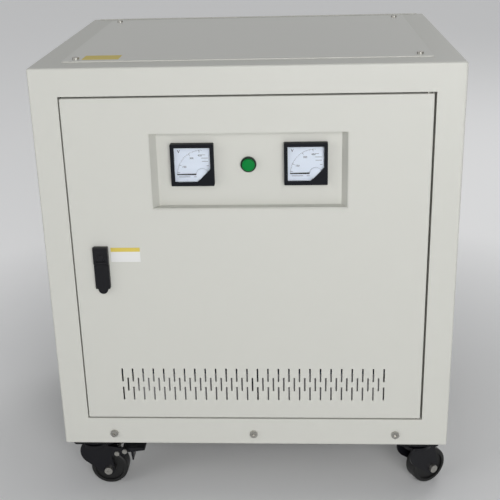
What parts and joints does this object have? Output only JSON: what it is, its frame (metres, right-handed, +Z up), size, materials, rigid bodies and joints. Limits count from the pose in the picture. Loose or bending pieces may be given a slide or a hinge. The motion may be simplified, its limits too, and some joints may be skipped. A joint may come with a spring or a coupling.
{
  "type": "dry type transformer",
  "caption": "Three-phase dry transformer in a wheeled sheet-steel cabinet with a hinged door, two recessed meters, a pilot lamp and a turning lock.",
  "frame": {"origin": "on the floor under the middle of the cabinet's footprint", "axes": "+Z up, -Y out of the door side, +X to the right seen from the door side"},
  "size_m": [0.7587, 0.6001, 0.8635],
  "materials": {
    "cabinet_paint": "satin",
    "black_paint": "satin",
    "zinc": "bright",
    "core_steel": "varnished laminations",
    "clamp_paint": "satin",
    "winding": "varnished",
    "copper": "satin",
    "board_laminate": "glass laminate",
    "stick_wood": "varnished",
    "black_plastic": "moulded",
    "dial_white": "printed card",
    "lens_clear": "clear",
    "pointer_black": "matt",
    "lamp_green": "gloss",
    "wheel_rubber": "matt",
    "pad_rubber": "matt"
  },
  "bodies": {
    "cabinet": {"back_panel": "cabinet_paint", "base_rails": "zinc", "board_bolts": "zinc", "board_brackets": "zinc", "caster_bolts": "zinc", "caster_plates": "black_paint", "core": "core_steel", "core_pads": "pad_rubber", "cover_screws": "zinc", "duct_sticks": "stick_wood", "earth_bar": "copper", "enclosure_frame": "cabinet_paint", "front_bolts": "zinc", "hinge_pins": "zinc", "inner_windings": "winding", "input_terminals": "copper", "leads": "copper", "left_panel": "cabinet_paint", "lower_clamps": "clamp_paint", "outer_windings": "winding", "output_terminals": "copper", "panel_screws": "zinc", "right_panel": "cabinet_paint", "terminal_boards": "board_laminate", "tie_rods": "zinc", "top_cover": "cabinet_paint", "upper_clamps": "clamp_paint", "winding_blocks": "board_laminate", "yoke_bolts": "zinc"},
    "door": {"door_panel": "cabinet_paint", "instrument_tray": "cabinet_paint", "meter_cases": "black_plastic", "meter_dials": "dial_white", "meter_lenses": "lens_clear", "hub_covers": "dial_white", "lamp_body": "black_plastic", "lamp_lens": "lamp_green", "lock_body": "black_paint", "lock_nut": "zinc"},
    "left_pointer": {"left_pointer": "pointer_black"},
    "right_pointer": {"right_pointer": "pointer_black"},
    "lock_spindle": {"lock_spindle": "black_paint", "lock_cam": "zinc"},
    "lock_lever": {"lock_lever": "black_paint"},
    "lock_button": {"lock_button": "black_paint"},
    "front_left_swivel": {"front_left_fork": "black_paint", "front_left_axle": "zinc"},
    "front_left_roller": {"front_left_wheel": "wheel_rubber"},
    "front_right_swivel": {"front_right_fork": "black_paint", "front_right_axle": "zinc"},
    "front_right_roller": {"front_right_wheel": "wheel_rubber"},
    "back_left_swivel": {"back_left_fork": "black_paint", "back_left_axle": "zinc"},
    "back_left_roller": {"back_left_wheel": "wheel_rubber"},
    "back_right_swivel": {"back_right_fork": "black_paint", "back_right_axle": "zinc"},
    "back_right_roller": {"back_right_wheel": "wheel_rubber"},
    "front_left_brake": {"front_left_pedal": "black_paint"},
    "back_right_brake": {"back_right_pedal": "black_paint"}
  },
  "joints": [
    {"name": "door_hinge", "type": "hinge", "parent": "cabinet", "child": "door", "pos_m": [0.3112, -0.282, 0.487], "axis": [0, 0, 1], "range_deg": [0, 110]},
    {"name": "lock_turn", "type": "hinge", "parent": "door", "child": "lock_spindle", "pos_m": [-0.2713, -0.29, 0.51], "axis": [0, 1, 0], "range_deg": [0, 90]},
    {"name": "lever_lift", "type": "hinge", "parent": "lock_spindle", "child": "lock_lever", "pos_m": [-0.2713, -0.2964, 0.4996], "axis": [-1, 0, 0], "range_deg": [0, 40]},
    {"name": "button_press", "type": "slide", "parent": "lock_spindle", "child": "lock_button", "axis": [0, 1, 0], "range_m": [0, 0.001], "stiffness_N_per_m": 300, "springref_m": -0.001},
    {"name": "left_pointer_swing", "type": "hinge", "parent": "door", "child": "left_pointer", "pos_m": [-0.0805, -0.273, 0.6615], "axis": [0, 1, 0], "range_deg": [0, 90], "stiffness_Nm_per_rad": 0.0005, "springref_deg": -17.19},
    {"name": "right_pointer_swing", "type": "hinge", "parent": "door", "child": "right_pointer", "pos_m": [0.1205, -0.273, 0.6615], "axis": [0, 1, 0], "range_deg": [0, 90], "stiffness_Nm_per_rad": 0.0005, "springref_deg": -17.19},
    {"name": "front_left_swivel_turn", "type": "hinge", "parent": "cabinet", "child": "front_left_swivel", "pos_m": [-0.321, -0.255, 0.09], "axis": [0, 0, 1], "continuous": true},
    {"name": "front_left_wheel_spin", "type": "hinge", "parent": "front_left_swivel", "child": "front_left_roller", "pos_m": [-0.296, -0.255, 0.0375], "axis": [0, 1, 0], "continuous": true},
    {"name": "front_left_brake_press", "type": "hinge", "parent": "front_left_swivel", "child": "front_left_brake", "pos_m": [-0.261, -0.255, 0.081], "axis": [0, 1, 0], "range_deg": [0, 20]},
    {"name": "front_right_swivel_turn", "type": "hinge", "parent": "cabinet", "child": "front_right_swivel", "pos_m": [0.321, -0.255, 0.09], "axis": [0, 0, 1], "continuous": true},
    {"name": "front_right_wheel_spin", "type": "hinge", "parent": "front_right_swivel", "child": "front_right_roller", "pos_m": [0.34265, -0.2425, 0.0375], "axis": [-0.5, 0.866, 0], "continuous": true},
    {"name": "back_left_swivel_turn", "type": "hinge", "parent": "cabinet", "child": "back_left_swivel", "pos_m": [-0.321, 0.255, 0.09], "axis": [0, 0, 1], "continuous": true},
    {"name": "back_left_wheel_spin", "type": "hinge", "parent": "back_left_swivel", "child": "back_left_roller", "pos_m": [-0.29751, 0.26355, 0.0375], "axis": [-0.342, 0.9397, 0], "continuous": true},
    {"name": "back_right_swivel_turn", "type": "hinge", "parent": "cabinet", "child": "back_right_swivel", "pos_m": [0.321, 0.255, 0.09], "axis": [0, 0, 1], "continuous": true},
    {"name": "back_right_wheel_spin", "type": "hinge", "parent": "back_right_swivel", "child": "back_right_roller", "pos_m": [0.29685, 0.26147, 0.0375], "axis": [-0.2588, -0.9659, 0], "continuous": true},
    {"name": "back_right_brake_press", "type": "hinge", "parent": "back_right_swivel", "child": "back_right_brake", "pos_m": [0.26304, 0.27053, 0.081], "axis": [-0.2588, -0.9659, 0], "range_deg": [0, 20]}
  ]
}
